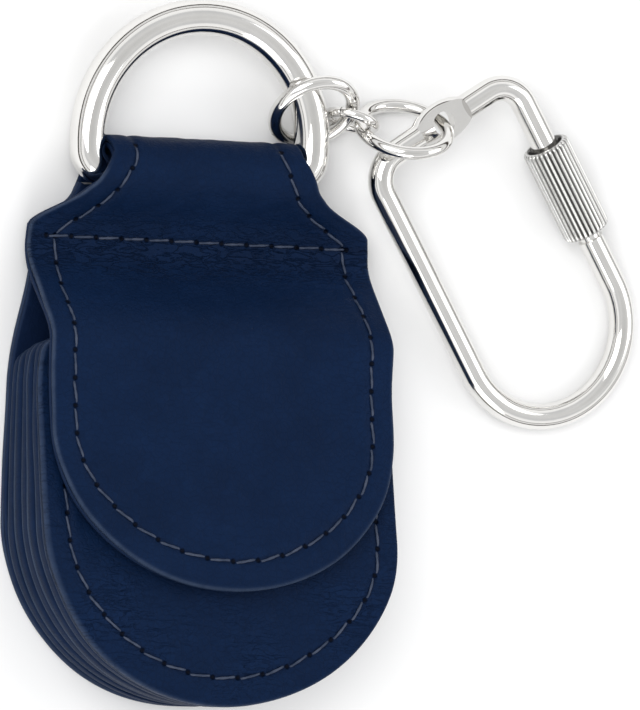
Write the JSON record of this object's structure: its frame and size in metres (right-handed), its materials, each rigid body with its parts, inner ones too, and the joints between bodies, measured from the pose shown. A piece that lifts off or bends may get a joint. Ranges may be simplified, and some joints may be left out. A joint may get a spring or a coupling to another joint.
{
  "type": "pick holder",
  "caption": "Stitched leather pouch with stacked pick pockets under a closing flap, folded round a D-ring that carries a short chain and a screw-lock carabiner.",
  "frame": {"origin": "centre of the bounding box, on the surface the holder lies on", "axes": "+Y from the pouch's foot to the D-ring, +Z out of the flap, +X towards the carabiner"},
  "size_m": [0.0681, 0.0705, 0.0147],
  "materials": {
    "leather_navy": "fine-grained, satin",
    "leather_lining": "smooth, matte",
    "leather_pocket": "fine-grained with painted edges",
    "thread": "waxed thread",
    "nickel": "polished nickel",
    "nickel_knurled": "ribbed nickel",
    "magnet": "plain plated disc"
  },
  "bodies": {
    "pouch": {"strip_outer": "leather_navy", "strip_lining": "leather_lining", "leaf_1_rear": "leather_pocket", "leaf_1_front": "leather_pocket", "leaf_2_rear": "leather_pocket", "leaf_2_front": "leather_pocket", "pocket_rear": "leather_pocket", "pocket_front": "leather_pocket", "pocket_magnet": "magnet", "thread_pouch": "thread", "thread_neck_left": "thread", "thread_neck_right": "thread", "thread_yoke": "thread"},
    "flap": {"flap_outer": "leather_navy", "flap_lining": "leather_lining", "flap_magnet": "magnet", "thread_flap": "thread"},
    "ring": {"d_ring": "nickel"},
    "first_link": {"link_1": "nickel"},
    "second_link": {"link_2": "nickel"},
    "third_link": {"link_3": "nickel"},
    "carabiner": {"carabiner_frame": "nickel"},
    "sleeve": {"screw_sleeve": "nickel_knurled"}
  },
  "joints": [
    {"name": "flap_hinge", "type": "hinge", "parent": "pouch", "child": "flap", "pos_m": [-0.01452, 0.01035, 0.0027], "axis": [-1, 0, 0], "range_deg": [0, 100]},
    {"name": "ring_swing", "type": "hinge", "parent": "pouch", "child": "ring", "pos_m": [-0.01535, 0.018, 0.0033], "axis": [1, 0, 0], "range_deg": [-35, 35]},
    {"name": "first_link_swing", "type": "hinge", "parent": "ring", "child": "first_link", "pos_m": [-0.00475, 0.02749, 0.00347], "axis": [-0.5073, 0.8616, 0.015], "range_deg": [-20, 3]},
    {"name": "second_link_swing", "type": "hinge", "parent": "first_link", "child": "second_link", "pos_m": [0.00083, 0.02566, 0.00427], "axis": [-0.2917, 0.6847, 0.6678], "range_deg": [-15, 5]},
    {"name": "third_link_swing", "type": "hinge", "parent": "second_link", "child": "third_link", "pos_m": [0.00341, 0.02317, 0.00201], "axis": [0.4321, 0.0238, 0.9015], "range_deg": [-5, 10]},
    {"name": "carabiner_swing", "type": "hinge", "parent": "third_link", "child": "carabiner", "pos_m": [0.01084, 0.02421, 0.00396], "axis": [0.1962, -0.5014, 0.8427], "range_deg": [-10, 20]},
    {"name": "sleeve_slide", "type": "slide", "parent": "carabiner", "child": "sleeve", "axis": [0.5512, -0.8305, -0.0802], "range_m": [0, 0.007]}
  ]
}
